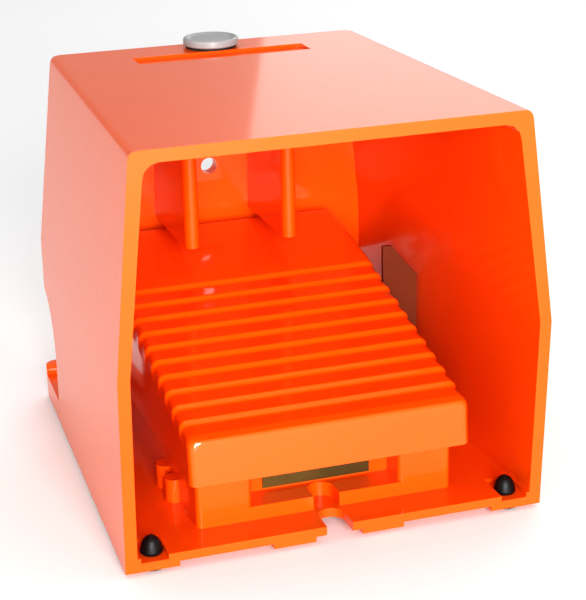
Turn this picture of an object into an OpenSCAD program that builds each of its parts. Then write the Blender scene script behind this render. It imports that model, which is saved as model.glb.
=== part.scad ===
// Industrial foot switch: cast guard hood over a drafted switch body with a fluted treadle.
// Origin: middle of the hood's footprint, on the plane that the rubber feet stand on.
// +X is the operator's right, +Y runs back under the hood, +Z is up. Millimetres.
// Inside the modules y counts from the hood's front edge; centred() moves each piece to the origin.

/* [Hood] */
// Width of the hood at its parting line, at the front
hood_w = 160; // [150:1:175]
// Depth of the hood floor, front edge to rear hooks
hood_d = 182; // [178:1:196]
// Height of the casting above its own pads
hood_h = 152.5; // [146:0.5:162]
// Wall thickness of the hood
hood_wall = 4.5; // [3.5:0.5:6]
// Height of the parting line above the casting pads
part_h = 74.5; // [72:0.5:78]
// Angle by which each side closes in towards the rear
plan_angle = 2.3; // [1:0.1:3]
// Angle by which each side leans in above the parting line
lean_angle = 5.8; // [3:0.1:7]
// Distance from the rear edge of the floor to the rear wall at the parting line
back_inset = 11; // [6:0.5:14]
// Forward lean of the rear wall over its height
back_lean = 6; // [2:0.5:8]
// Set-back of the front rim at the floor
rim_low = 5; // [2:0.5:6]
// Set-back of the front rim at the top
rim_top = 2.5; // [0:0.5:4]
// Radius of the rear corners in plan
hood_corner_r = 5; // [4:0.5:7]
// Radius of the top edges
hood_edge_r = 3; // [1.5:0.5:4]
// Radius inside along the ceiling
hood_inner_r = 6; // [3:0.5:8]
// Thickness of the hood floor
floor_t = 3.5; // [3:0.5:5]
// Height of the casting pads below the floor
pad_h = 2; // [1.5:0.5:3]
// Thickness of the two ribs under the ceiling
fin_t = 6; // [4:0.5:8]
// Distance between the rib centres
fin_pitch = 41; // [36:1:50]
// Front edge of the ribs
fin_y = 116; // [105:1:125]
// Height of the ribs' lower edge above the parting line
fin_gap = 4.5; // [3.5:0.5:8]
// Width of the open fixing slot in the front edge
slot_w = 10; // [8:0.5:12]
// How far the fixing slot runs in from the front edge
slot_in = 13.5; // [9:0.5:15]
// Radius of the room cut into the side walls behind
rear_room = 26; // [20:0.5:30]
// Diameter of the hole through the rear wall
back_hole_d = 7; // [5:0.5:9]
// Height of that hole above the parting line
back_hole_h = 25; // [16:1:45]
// Distance between the two fixing holes in the floor
fix_pitch = 116; // [112:1:122]
// Distance of the fixing holes from the rear edge of the floor
fix_rear = 42; // [38:1:56]
// Diameter of the fixing holes
fix_d = 6.6; // [5.5:0.1:8.5]
// Distance of the shallow recess from the rear edge of the top
recess_inset = 22; // [20:1:40]
// Length of the shallow recess across the top
recess_l = 71; // [60:1:80]
// Width of the shallow recess across the top
recess_w = 12; // [8:1:16]
// Depth of the shallow recess across the top
recess_deep = 1.5; // [1:0.25:2]

/* [Hood fittings] */
// Diameter of the top plug's head
plug_head_d = 22.5; // [18:0.5:24]
// Thickness of the top plug's head
plug_head_t = 3; // [2:0.5:4]
// Diameter of the top plug's stem
plug_stem_d = 12; // [10:0.5:14]
// Distance of the top plug from the rear edge of the top
plug_inset = 12; // [12:0.5:15]
// How far the rubber feet stand proud of the casting pads
foot_proud = 1.5; // [1:0.25:3]
// Diameter of a foot's flange
foot_d = 11; // [10:0.5:15]
// Diameter of a foot's neck through the floor
foot_neck_d = 7; // [6:0.5:8]
// Height of a foot's barb above the floor
foot_barb_h = 7; // [5:0.5:9]
// Distance of the feet from the hood's outer side
foot_side = 11; // [10:0.5:14]
// Distance of the front feet from the front edge
foot_front = 12; // [11.5:0.5:16]
// Distance of the rear feet from the rear edge of the floor
foot_rear = 17; // [14:0.5:22]
// Thickness of the side bracket's sheet
bracket_t = 2; // [1.5:0.5:3]
// Height of the side bracket above the hood floor
bracket_h = 69; // [60:1:72]
// Front face of the side bracket behind the hood's front edge
bracket_y = 103; // [98:1:112]
// Length of the side bracket's foot
bracket_l = 17; // [14:1:22]

/* [Switch body] */
// Width of the switch body
body_w = 99; // [96:0.5:104]
// Front face of the body behind the hood's front edge
body_front = 19; // [18.5:0.5:21]
// Room between the body's rear face and the rear edge of the hood floor
body_inset = 6; // [4.5:0.5:8]
// Height of the body's front blocks above the hood floor
nose_h = 19; // [16:0.5:20]
// Length of the front blocks
nose_l = 12; // [10:0.5:16]
// Height of the body at the rear above the hood floor
body_h = 46.5; // [45:0.5:47]
// Length of the flat rear part of the body
tail_l = 56; // [50:1:60]
// Width of the window between the front blocks
window_w = 57; // [50:1:64]
// Width of the blank plate behind the window
blank_w = 42; // [36:1:48]
// Height of the sill across the window
sill_h = 5.5; // [4:0.5:8]
// Front end of the side lugs
lug_y = 43; // [38:1:50]
// Length of the side lugs
lug_l = 20; // [16:1:26]
// Thickness of the ears that carry the hinge shaft
ear_t = 10; // [8:0.5:12]
// Rear wall of the body
rear_wall = 11; // [10.5:0.5:13]
// Side wall of the body
body_wall = 6.5; // [5:0.5:8]
// Roof of the body
roof_t = 4.5; // [3.5:0.5:5]
// Diameter of the cable entries
entry_d = 20; // [16:0.5:20]
// Distance between the cable entries
entry_pitch = 46; // [40:1:50]
// Distance between the screws that hold the body down
body_screw_pitch = 76; // [74:1:82]
// Thickness of the bottom plate
plate_t = 2; // [1.5:0.25:2.5]
// Thickness of the bottom gasket
gasket_t = 1; // [0.8:0.1:1.5]

/* [Treadle] */
// How far the treadle reaches past the body on each side
tread_side = 4; // [3.5:0.25:5.5]
// Side wall of the treadle
tread_wall = 3; // [2:0.25:3]
// Top wall of the treadle under its flutes
tread_top = 3.5; // [3:0.5:4]
// Front face of the treadle behind the hood's front edge
tread_front = 10; // [7:0.5:10.5]
// Height of the treadle's lower edge above the hood floor
skirt_gap = 21; // [20:0.5:23]
// Height of the treadle's front lip
lip_h = 17; // [15:0.5:19]
// Slope of the fluted part
flute_slope = 13.7; // [12.5:0.1:14]
// Distance from one flute to the next, along the slope
flute_pitch = 9.7; // [9:0.1:10.5]
// Number of flutes
flute_count = 10; // [8:1:10]
// Depth of a flute
flute_deep = 1.8; // [1.2:0.1:2]
// Slope of the plain part at the rear
rear_slope = 9; // [7:0.5:10]
// Radius of the treadle's corners
tread_r = 4; // [2:0.5:5]
// Distance from the treadle's rear end to the rear face of the body
tread_inset = 17; // [15:0.5:17.5]
// Travel of the treadle in degrees
travel = 6; // [4:0.5:6]
// Diameter of the hinge shaft
shaft_d = 10; // [8:0.5:11]
// Distance from the hinge shaft to the rear end of the treadle
pivot_inset = 12; // [12:0.5:15]
// Height of the hinge shaft above the hood floor
pivot_h = 53.5; // [53:0.25:54]

/* [Switching parts] */
// Diameter of the plunger
plunger_d = 10; // [8:0.5:11]
// Place of the plunger, as a share of the treadle's length in front of its shaft
lever_share = 0.416; // [0.396:0.004:0.45]
// Distance between the two contact blocks
block_pitch = 40; // [38:1:44]
// Width of a contact block
block_w = 21; // [20:0.5:23]
// Depth of a contact block's switching chamber
block_d = 24; // [22:1:28]
// Height of a contact block
block_h = 15; // [14.5:0.25:15.5]
// Thickness of the contact strips
strip_t = 0.8; // [0.6:0.1:1]
// Wire of the treadle return springs
spring_wire = 1.1; // [0.9:0.1:1.2]

/* [Fits] */
// Running clearance of shaft and plunger, on the radius
run_gap = 0.05; // [0.03:0.01:0.09]
// Clearance between parts that stand side by side
free_gap = 0.3; // [0.2:0.05:0.5]

/* [Hidden] */
$fn = 48;

paint = [0.96, 0.36, 0.05];
zinc = [0.72, 0.73, 0.74];
brass = [0.80, 0.66, 0.36];
rubber = [0.05, 0.05, 0.05];
moulding = [0.10, 0.10, 0.11];
eps = 0.01;
screw_d = 4; // small machine screws

// Levels, from the ground up
cast_z = foot_proud;
floor_z = cast_z + pad_h;
deck_z = floor_z + floor_t;
pocket_z = cast_z + floor_t; // floor of the pockets above the front pads
foot_seat_z = cast_z + 1.5;
part_z = cast_z + part_h;
top_z = cast_z + hood_h;
ceiling_z = top_z - hood_wall;

back_y = hood_d - back_inset;

// Half widths of the hood
function side_x(y) = hood_w / 2 - y * tan(plan_angle);
top_lean = (top_z - part_z) * tan(lean_angle);
side_skin = hood_wall / cos(plan_angle);
top_back_y = back_y - back_lean;
foot_pad = 20; // width of the pads round the feet
slot_pad = 16; // width of the pads beside the fixing slot
pad_r = 2.5;
through = 40; // length of the cutters that go right through a wall
past = 14; // how far the rough hood runs past its trimmed front

// Switch body
body_rear = hood_d - body_inset;
body_top = deck_z + body_h;
nose_top = deck_z + nose_h;
nose_end = body_front + nose_l;
tail_y = body_rear - tail_l;
ramp = (body_top - nose_top - 4) / (tail_y - nose_end);
function roof_z(y) = nose_top + 4 + (min(y, tail_y) - nose_end) * ramp;
chamber_x = body_w / 2 - body_wall;
chamber_y0 = nose_end + 8;
chamber_y1 = body_rear - rear_wall;
plate_z = deck_z + free_gap;
gasket_z = plate_z + plate_t;
chamber_z = gasket_z + gasket_t;
rim_in = 2.5; // ledge that the gasket lies on
gasket_ring = 3; // width of the gasket's band
boss_r = 5.5;
plate_screw_d = 3.9;
plate_screw_x = chamber_x - 3;
plate_screw_y = [chamber_y0 + 3, (chamber_y0 + chamber_y1) / 2 + 18, chamber_y1 - 3];
body_screw_x = body_screw_pitch / 2;
body_screw_y = [body_front + 6.5, body_rear - 4];
entry_z = deck_z + 22;
blank_t = 0.8;
blank_edge = 1; // what the blank plate keeps clear of the sill
nose_r = 2; // rounding of the body's upright front edges
ear_in = 2.5; // how far the ears stand in from the body's sides
lug_t = 3.2;
lug_r = 3.5; // half rounds that stand up from the lugs

// Treadle
tread_w = body_w + 2 * tread_side;
tread_rear = body_rear - tread_inset;
pivot_y = tread_rear - pivot_inset;
pivot_z = deck_z + pivot_h;
lever = lever_share * (pivot_y - tread_front); // from the shaft to the plunger
plunger_y = pivot_y - lever;
skirt_z = deck_z + skirt_gap;
lip_top = skirt_z + lip_h;
bush_t = 1.5;
ear_r = shaft_d / 2 + bush_t + 2;
flute_run = flute_pitch * cos(flute_slope);
flute_rise = flute_pitch * sin(flute_slope);
kink_y = tread_front + 1.5 + (flute_count + 1) * flute_run;
kink_z = lip_top + (flute_count + 1) * flute_rise;
rear_z = kink_z + (tread_rear - kink_y) * tan(rear_slope);
function tread_z(y) = y < kink_y ? lip_top + (y - tread_front - 1.5) * tan(flute_slope)
    : kink_z + (y - kink_y) * tan(rear_slope);
under = tread_top + flute_deep;
tread_inner = tread_w / 2 - tread_wall;
stop_z = body_top + free_gap; // the treadle's rear wall rests here
function drop(y) = (pivot_y - y) * sin(travel);
// Where a point of the treadle stands once the treadle is pressed
function pressed_y(y, z) = pivot_y + (y - pivot_y) * cos(travel) - (z - pivot_z) * sin(travel);
function pressed_z(y, z) = pivot_z + (y - pivot_y) * sin(travel) + (z - pivot_z) * cos(travel);

// Switching parts
stroke = lever * sin(travel);
pad_z = tread_z(plunger_y) - under - 5;
plunger_top = pad_z - free_gap;
spot_z = pad_z - stroke - 2.4;
dome_r = 8;
bush_flange_t = 0.8;
bush_r = plunger_d / 2 + 2.5;
bush_low = roof_z(plunger_y) - roof_t - 5;
contact_z = chamber_z - gasket_t + 2.2;
block_top = contact_z + block_h;
carrier_top = block_top + stroke + 0.15;
yoke_z = carrier_top + free_gap;
yoke_t = 3;
yoke_w = 12;
block_skin = 1.5;
nc_z = block_top - block_skin - 0.6 - strip_t;
bridge_t = 1;
bridge_z = nc_z - 0.1 - bridge_t;
no_z = bridge_z - stroke - 0.1;
cross_t = 2;
strip_w = 5;
strip_x = 5.5;
shelf = 10;
block_end = block_d / 2 + shelf;
spring_y = 62;
spring_x = 30;
spring_r = 5;
spring_seat_z = tread_z(spring_y - spring_r - 2) - under - 0.5;
buffer_y = 40;
buffer_x = 34;
buffer_r = 3.5;
buffer_under = tread_z(buffer_y) - under;
buffer_top = pressed_z(buffer_y, buffer_under) - 0.2
    - (pressed_y(buffer_y, buffer_under) - buffer_y + buffer_r) * tan(flute_slope + travel);
earth_y = tail_y + 20;
earth_z = body_top - 22;
pocket = 2.5; // depth of the spring and buffer pockets
wall_y = back_y - hood_wall;
back_hole_z = part_z + back_hole_h;
bracket_x0 = tread_w / 2 + 2;
bracket_x1 = side_x(bracket_y + bracket_l) - side_skin - free_gap;
bracket_cut = min(11, (bracket_x1 - bracket_x0) * 0.75);
bracket_screw_y = bracket_y + bracket_l / 2 + 1;
back_low_z = body_top + 1.5;

module centred() {
    translate([0, -hood_d / 2, 0]) children();
}

// ---------- Hood ----------

// Plan of one level of the hood, from past the front edge to the rear wall
module hood_plan(inset, rear, run) {
    r = max(hood_corner_r - inset, 0.5);
    xf = side_x(-run) - inset / cos(plan_angle);
    x = side_x(rear) - inset / cos(plan_angle) - r;
    polygon(concat([[-xf, -run], [xf, -run]],
        [for (a = [0:15:90]) [x + r * cos(a), rear - r + r * sin(a)]],
        [for (a = [90:15:180]) [-x + r * cos(a), rear - r + r * sin(a)]]));
}

// Rounded crown that closes the upper half: rings that shrink over the edge radius
module crown(inset, edge, level, run) {
    rear = top_back_y - inset;
    xr = side_x(rear) - top_lean - inset / cos(plan_angle);
    xf = side_x(-run) - top_lean - inset / cos(plan_angle);
    for (a = [0, 30, 60, 90], s = [-1, 1]) {
        draw = edge * (1 - cos(a));
        r = max(hood_corner_r - inset - draw, 0.5);
        translate([0, 0, level - edge + edge * sin(a) - eps]) {
            translate([s * (xr - draw - r), rear - draw - r, 0]) cylinder(r = r, h = eps, $fn = 32);
            translate([s * (xf - draw - 0.5) - 0.5, -run, 0]) cube([1, 1, eps]);
        }
    }
}

module hood_upper(inset, edge, level, run) {
    hull() {
        translate([0, 0, part_z - 1]) linear_extrude(1) hood_plan(inset, back_y - inset, run);
        crown(inset, edge, level, run);
    }
}

// Side view of everything in front of the rim
module rim_profile() {
    polygon([[-past * 2, -5], [rim_low, -5], [rim_low, cast_z], [0, part_z], [rim_top, top_z],
        [rim_top, top_z + 20], [-past * 2, top_z + 20]]);
}

// Side view of the room for the cable entries behind the side walls
module rear_cut_profile() {
    y0 = back_y - rear_room;
    z0 = deck_z + 4;
    difference() {
        union() {
            translate([back_y, z0]) square([60, back_low_z - z0]);
            translate([y0, z0]) square([rear_room + 1, back_low_z - rear_room - z0]);
            intersection() {
                translate([back_y, back_low_z - rear_room]) circle(rear_room);
                translate([y0 - 1, back_low_z - rear_room - 1]) square([rear_room + 2, rear_room + 1]);
            }
        }
        // upturned hook at the rear end of the floor flange
        translate([hood_d - 4, z0 - 1]) square([20, 5.5]);
        translate([hood_d - 6.5, z0 - 1]) difference() {
            square([3, 3.5]);
            translate([0, 3.5]) circle(2.5);
        }
    }
}

// Plan of the floor: full width at the front, rounded behind
module floor_plan(front) {
    r = hood_corner_r;
    xr = side_x(hood_d);
    polygon([[-side_x(front), front], [side_x(front), front], [xr, hood_d - r], [xr - r, hood_d],
        [-xr + r, hood_d], [-xr, hood_d - r]]);
    for (s = [-1, 1]) translate([s * (xr - r), hood_d - r]) circle(r);
}

module foot_places(front) {
    y = front ? foot_front : hood_d - foot_rear;
    for (s = [-1, 1]) translate([s * (side_x(y) - foot_side), y, 0]) children();
}

module body_screw_places() {
    for (s = [-1, 1], y = body_screw_y) translate([s * body_screw_x, y, 0]) children();
}

// Rectangle with rounded corners, low corner first
module rounded(x, y, w, l) {
    translate([x + pad_r, y]) square([w - 2 * pad_r, l]);
    translate([x, y + pad_r]) square([w, l - 2 * pad_r]);
    for (a = [x + pad_r, x + w - pad_r], b = [y + pad_r, y + l - pad_r]) translate([a, b]) circle(pad_r);
}

module hood_floor() {
    translate([0, 0, floor_z]) linear_extrude(floor_t) floor_plan(rim_low - 0.5);
    // pads that the casting would stand on without its feet
    translate([0, 0, cast_z]) linear_extrude(pad_h + eps) intersection() {
        floor_plan(rim_low);
        for (s = [0, 1]) mirror([s, 0]) {
            rounded(side_x(0) - foot_pad, -pad_r * 2, foot_pad * 2,
                foot_front + foot_pad * 0.6 + pad_r * 2);
            rounded(side_x(hood_d) - foot_pad, hood_d - foot_rear - foot_pad * 0.65, foot_pad * 2,
                foot_pad * 3);
            rounded(slot_w / 2 + 4, -pad_r * 2, slot_pad, slot_in + slot_w + pad_r * 2);
        }
    }
    // side flanges with the upturned hooks, and the low lip across the rear
    for (s = [0, 1]) mirror([s, 0, 0]) intersection() {
        translate([0, 0, cast_z]) linear_extrude(deck_z + 8.5 - cast_z) difference() {
            floor_plan(rim_low);
            polygon([[side_x(0) - side_skin, -1], [side_x(hood_d) - side_skin, hood_d - hood_wall],
                [-hood_w, hood_d - hood_wall], [-hood_w, -1]]);
        }
        translate([hood_w, 0, 0]) rotate([90, 0, -90]) mirror([1, 0, 0])
            linear_extrude(hood_w) difference() {
                square([hood_d + 5, deck_z + 20]);
                rear_cut_profile();
            }
        union() {
            translate([side_x(hood_d) - 16, back_y - 30, 0]) cube([40, 80, 60]);
            cube([hood_w, hood_d, deck_z + 3]);
        }
    }
}

module hood_fin(s) {
    x = s * fin_pitch / 2;
    z = part_z + fin_gap;
    reach = back_y - hood_wall - (z - part_z) / (top_z - part_z) * back_lean + 1.5;
    translate([x + fin_t / 2, 0, 0]) rotate([90, 0, -90]) mirror([1, 0, 0]) linear_extrude(fin_t)
        polygon([[fin_y + fin_t / 2, z], [reach, z], [top_back_y - hood_wall + 1.5, ceiling_z + 1],
            [fin_y + fin_t / 2, ceiling_z + 1]]);
    translate([x, fin_y + fin_t / 2, z]) cylinder(d = fin_t, h = ceiling_z + 1 - z);
}

module guard_hood() {
    color(paint) centred() difference() {
        union() {
            difference() {
                union() {
                    translate([0, 0, cast_z]) linear_extrude(part_h) hood_plan(0, back_y, past);
                    hood_upper(0, hood_edge_r, top_z, past);
                }
                hood_upper(hood_wall, hood_inner_r, ceiling_z, past + 6);
                // room below the parting line, open to the rear under the wall's lower edge
                translate([0, 0, -1]) linear_extrude(part_z + 1)
                    hood_plan(hood_wall, back_y - hood_wall, past + 6);
                translate([0, 0, -1]) linear_extrude(back_low_z + 1) polygon([
                    [-side_x(100) + side_skin, 100], [side_x(100) - side_skin, 100],
                    [side_x(220) - side_skin, 220], [-side_x(220) + side_skin, 220]]);
                translate([hood_w, 0, 0]) rotate([90, 0, -90]) mirror([1, 0, 0])
                    linear_extrude(2 * hood_w) rear_cut_profile();
            }
            hood_floor();
            for (s = [-1, 1]) hood_fin(s);
            // pad round the hole in the rear wall
            translate([-6, wall_y - 3.8, back_hole_z - 6.5]) cube([12, 3.8, 14]);
        }
        // trimmed front rim
        translate([hood_w, 0, 0]) rotate([90, 0, -90]) mirror([1, 0, 0])
            linear_extrude(2 * hood_w) rim_profile();
        // open fixing slot
        translate([0, 0, cast_z - 1]) linear_extrude(pad_h + floor_t + 2) {
            translate([0, rim_low + slot_in - slot_w / 2]) circle(d = slot_w);
            translate([-slot_w / 2, -10]) square([slot_w, rim_low + slot_in - slot_w / 2 + 10]);
        }
        // pockets above the front pads, so that the floor keeps its thickness
        for (s = [0, 1]) mirror([s, 0, 0]) translate([side_x(0) - foot_pad + 4, -5, pocket_z])
            cube([foot_pad - 4 - side_skin - foot_front * 0.12, foot_front + foot_pad * 0.6 + 1, 20]);
        for (front = [true, false]) foot_places(front) {
            translate([0, 0, cast_z - 1])
                cylinder(d = foot_d + 2 * free_gap, h = 1 + foot_seat_z - cast_z);
            translate([0, 0, cast_z]) cylinder(d = foot_neck_d + 0.2, h = deck_z);
        }
        body_screw_places() {
            translate([0, 0, cast_z - 1]) cylinder(d = 5.6, h = 20);
            translate([0, 0, cast_z - 1]) cylinder(d = 11, h = 1 + pad_h + 0.5);
        }
        // two floor holes for fixing the whole unit down
        for (s = [-1, 1]) translate([s * fix_pitch / 2, hood_d - fix_rear, 0])
            cylinder(d = fix_d, h = through);
        // hole through the rear wall
        translate([0, wall_y - 12, back_hole_z]) rotate([-90, 0, 0])
            cylinder(d = back_hole_d, h = through);
        // top: plug hole and shallow recess
        translate([0, top_back_y - plug_inset, ceiling_z - 2]) cylinder(d = plug_stem_d + 0.2, h = 20);
        translate([-recess_l / 2, top_back_y - recess_inset - recess_w, top_z - recess_deep])
            cube([recess_l, recess_w, 10]);
        bracket_screw_place() cylinder(d = screw_d + 0.2, h = 20);
    }
}

module hood_plug() {
    color(zinc) centred() translate([0, top_back_y - plug_inset, top_z + 1]) {
        rotate_extrude() polygon([[0, 0], [plug_head_d / 2, 0], [plug_head_d / 2, plug_head_t - 0.8],
            [plug_head_d / 2 - 0.8, plug_head_t], [0, plug_head_t]]);
        translate([0, 0, -hood_wall - 2.5]) cylinder(d = plug_stem_d, h = hood_wall + 3);
    }
}

module plug_washer() {
    color(rubber) centred() translate([0, top_back_y - plug_inset, top_z]) difference() {
        cylinder(d = plug_head_d - 2, h = 1);
        translate([0, 0, -1]) cylinder(d = plug_stem_d + 0.2, h = 4);
    }
}

module rubber_feet() {
    n = foot_neck_d / 2;
    for (front = [true, false]) {
        z = (front ? pocket_z : deck_z) + 0.1;
        h = foot_barb_h;
        color(rubber) centred() foot_places(front) rotate_extrude() polygon([
            [0, 0], [foot_d / 2 - 0.8, 0],
            [foot_d / 2, 0.8], [foot_d / 2, foot_seat_z - 0.05], [n, foot_seat_z - 0.05], [n, z],
            [n + 0.6, z + h * 0.16], [n + 0.3, z + h * 0.4], [n - 0.9, z + h * 0.72],
            [n - 2.5, z + h], [0, z + h]]);
    }
}

module bracket_screw_place() {
    translate([(bracket_x0 + bracket_x1) / 2, bracket_screw_y, 0]) children();
}

module side_bracket() {
    color([0.45, 0.36, 0.28]) centred() difference() {
        union() {
            translate([0, bracket_y, 0]) rotate([90, 0, 0]) translate([0, 0, -bracket_t])
                linear_extrude(bracket_t) polygon([[bracket_x0, deck_z], [bracket_x1, deck_z],
                    [bracket_x1, deck_z + bracket_h - 1.25 * bracket_cut],
                    [bracket_x1 - bracket_cut, deck_z + bracket_h],
                    [bracket_x0, deck_z + bracket_h]]);
            translate([bracket_x0, bracket_y, deck_z])
                cube([bracket_x1 - bracket_x0, bracket_l, bracket_t]);
        }
        bracket_screw_place() translate([0, 0, deck_z - 1]) cylinder(d = screw_d + 0.2, h = 9);
    }
}

// Pan-head screw, head up, with its head's underside at the origin
module pan_screw(d, l, head_d, head_t) {
    difference() {
        union() {
            cylinder(d = head_d, h = head_t);
            translate([0, 0, -l]) cylinder(d = d, h = l + eps);
        }
        translate([-head_d, -0.4, head_t - 0.8]) cube([2 * head_d, 0.8, 2]);
    }
}

module bracket_screws() {
    color(zinc) centred() bracket_screw_place() translate([0, 0, deck_z + bracket_t])
        pan_screw(screw_d, bracket_t + floor_t, 2 * screw_d, 2.6);
}

// ---------- Switch body ----------

module body_side(low, inset) {
    polygon([[body_front + inset, low], [body_front + inset, nose_top], [nose_end, nose_top],
        [nose_end, roof_z(nose_end)], [tail_y, body_top], [body_rear, body_top], [body_rear, low]]);
}

module along_x(w) {
    translate([w / 2, 0, 0]) rotate([90, 0, -90]) mirror([1, 0, 0]) linear_extrude(w) children();
}

module chamber_side() {
    polygon([[chamber_y0, deck_z - 1], [chamber_y0, roof_z(chamber_y0) - roof_t],
        [tail_y, body_top - roof_t], [chamber_y1, body_top - roof_t], [chamber_y1, deck_z - 1]]);
}

module chamber_posts() {
    for (s = [-1, 1], y = plate_screw_y) translate([s * plate_screw_x, y, chamber_z])
        cylinder(r = boss_r, h = 12);
}

module switch_body() {
    ex = entry_pitch / 2;
    color(paint) centred() difference() {
        union() {
            difference() {
                along_x(body_w) body_side(deck_z, 0);
                along_x(2 * chamber_x) chamber_side();
                // seat of gasket and bottom plate
                translate([-chamber_x - rim_in, chamber_y0 - rim_in, deck_z - 1])
                    cube([2 * (chamber_x + rim_in), chamber_y1 - chamber_y0 + 2 * rim_in,
                        chamber_z - deck_z + 1]);
            }
            intersection() {
                chamber_posts();
                along_x(body_w) body_side(deck_z, 0);
            }
            // ears that carry the hinge shaft
            for (s = [-1, 1]) translate([s * (body_w / 2 - ear_in - ear_t / 2) - ear_t / 2, 0, 0]) {
                translate([0, pivot_y, pivot_z]) rotate([0, 90, 0]) cylinder(r = ear_r, h = ear_t);
                translate([0, pivot_y - ear_r, body_top - 1])
                    cube([ear_t, 2 * ear_r, pivot_z - body_top + 1]);
            }
            // side lugs with their two upright half rounds
            for (s = [-1, 1]) {
                translate([s * (body_w / 2 + lug_t / 2) - lug_t / 2, lug_y, deck_z])
                    translate([-s * 0.1, 0, 0]) cube([lug_t, lug_l, 5]);
                for (y = [lug_y + lug_r, lug_y + lug_l - lug_r])
                    translate([s * (body_w / 2 + 1), y, deck_z])
                        cylinder(r = lug_r, h = skirt_z - drop(lug_y) - 1 - deck_z);
            }
            // bosses under the spring pockets, for the earth screw and for the plunger bush
            for (s = [-1, 1]) translate([s * spring_x, spring_y, roof_z(spring_y) - pocket - 2])
                cylinder(r = spring_r + 3, h = 2.5);
            translate([0, earth_y, earth_z])
                cylinder(r = boss_r, h = roof_z(earth_y) - roof_t + 1 - earth_z);
            translate([0, plunger_y, bush_low]) cylinder(r = bush_r + 4.5, h = spot_z - bush_low);
        }
        // window between the front blocks
        translate([-window_w / 2, body_front - 1, deck_z + sill_h])
            cube([window_w, nose_l + 1, body_h]);
        // rounded upright edges of the front blocks
        for (s = [0, 1]) mirror([s, 0, 0]) {
            translate([body_w / 2 - nose_r, body_front + nose_r, deck_z - 1]) front_edge(1);
            translate([window_w / 2 + nose_r, body_front + nose_r, deck_z + sill_h]) front_edge(-1);
        }
        // recess of the sill behind the fixing slot
        translate([0, 0, deck_z - 1]) linear_extrude(sill_h + 2) {
            translate([0, nose_end - 1 - slot_w / 2]) circle(d = slot_w);
            translate([-slot_w / 2, body_front - 1]) square([slot_w, nose_l - slot_w / 2]);
        }
        // spot face, bush bore and seal seat
        translate([0, plunger_y, spot_z]) cylinder(r = bush_r + 4, h = through);
        translate([0, plunger_y, bush_low - 1]) cylinder(r = bush_r, h = through);
        // hinge bores
        translate([-body_w, pivot_y, pivot_z]) rotate([0, 90, 0])
            cylinder(r = shaft_d / 2 + bush_t, h = 2 * body_w);
        // cable entries
        for (s = [-1, 1]) translate([s * ex, chamber_y1 - 1, entry_z]) rotate([-90, 0, 0])
            cylinder(d = entry_d, h = through);
        // tapped holes from below
        for (s = [-1, 1], y = plate_screw_y) translate([s * plate_screw_x, y, chamber_z - 1])
            cylinder(d = 4, h = 9);
        body_screw_places() translate([0, 0, deck_z - 1]) cylinder(d = 5, h = 11);
        translate([0, earth_y, earth_z - 1]) cylinder(d = 4, h = 9);
        // spring seats and buffer pockets in the roof
        for (s = [-1, 1]) {
            translate([s * spring_x, spring_y, roof_z(spring_y) - pocket])
                cylinder(r = spring_r + 1.2, h = through);
            translate([s * buffer_x, buffer_y, roof_z(buffer_y) - pocket])
                cylinder(r = buffer_r + 0.1, h = through);
        }
    }
}

// What the rounding takes off an upright front edge that looks along s
module front_edge(s) {
    difference() {
        translate([s > 0 ? 0 : -nose_r - 1, -nose_r - 1, 0]) cube([nose_r + 1, nose_r + 1, body_h]);
        translate([0, 0, -1]) cylinder(r = nose_r, h = body_h + 2);
    }
}

module rating_plate() {
    color([0.55, 0.50, 0.38]) centred()
        translate([-blank_w / 2, nose_end - blank_t, deck_z + sill_h + blank_edge])
            cube([blank_w, blank_t, roof_z(nose_end) - deck_z - sill_h - 2.5 * blank_edge]);
}

module bottom_plate() {
    x = chamber_x + rim_in - free_gap;
    y0 = chamber_y0 - rim_in + free_gap;
    y1 = chamber_y1 + rim_in - free_gap;
    color(zinc) centred() difference() {
        translate([-x, y0, plate_z]) cube([2 * x, y1 - y0, plate_t]);
        for (s = [-1, 1], y = plate_screw_y) translate([s * plate_screw_x, y, plate_z - 1]) {
            cylinder(d = 4.4, h = 9);
            cylinder(d1 = 10.4, d2 = 4.4, h = 3);
        }
        contact_screw_places() translate([0, 0, plate_z - 1]) cylinder(d = 2.9, h = 9);
    }
}

module bottom_gasket() {
    x = chamber_x + rim_in - free_gap;
    y0 = chamber_y0 - rim_in + free_gap;
    y1 = chamber_y1 + rim_in - free_gap;
    color(rubber) centred() difference() {
        translate([-x, y0, gasket_z]) cube([2 * x, y1 - y0, gasket_t]);
        difference() {
            translate([-x + gasket_ring, y0 + gasket_ring, gasket_z - 1])
                cube([2 * (x - gasket_ring), y1 - y0 - 2 * gasket_ring, 9]);
            for (s = [-1, 1], y = plate_screw_y) translate([s * plate_screw_x, y, gasket_z - 2])
                cylinder(r = boss_r, h = 12);
        }
        for (s = [-1, 1], y = plate_screw_y) translate([s * plate_screw_x, y, gasket_z - 1])
            cylinder(d = 4.4, h = 9);
    }
}

module bottom_screws() {
    color(zinc) centred() for (s = [-1, 1], y = plate_screw_y)
        translate([s * plate_screw_x, y, plate_z]) {
            cylinder(d1 = 2 * plate_screw_d, d2 = plate_screw_d, h = plate_t);
            translate([0, 0, 1]) cylinder(d = plate_screw_d, h = 8);
        }
}

module body_screws() {
    head_z = cast_z + pad_h + 0.5;
    color(zinc) centred() body_screw_places() {
        translate([0, 0, head_z - 2]) cylinder(d = 9, h = 2, $fn = 6);
        translate([0, 0, head_z - eps]) cylinder(d = 4.9, h = deck_z + 9 - head_z);
    }
}

// Outer end of the entry that is blanked
module entry_place() {
    translate([-entry_pitch / 2, body_rear, entry_z]) rotate([-90, 0, 0]) children();
}

module entry_plug() {
    color(moulding) centred() entry_place() {
        translate([0, 0, 1.5]) cylinder(d = entry_d + 5, h = 3.5, $fn = 6);
        translate([0, 0, -7]) cylinder(d = entry_d - 0.1, h = 9);
    }
}

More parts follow.
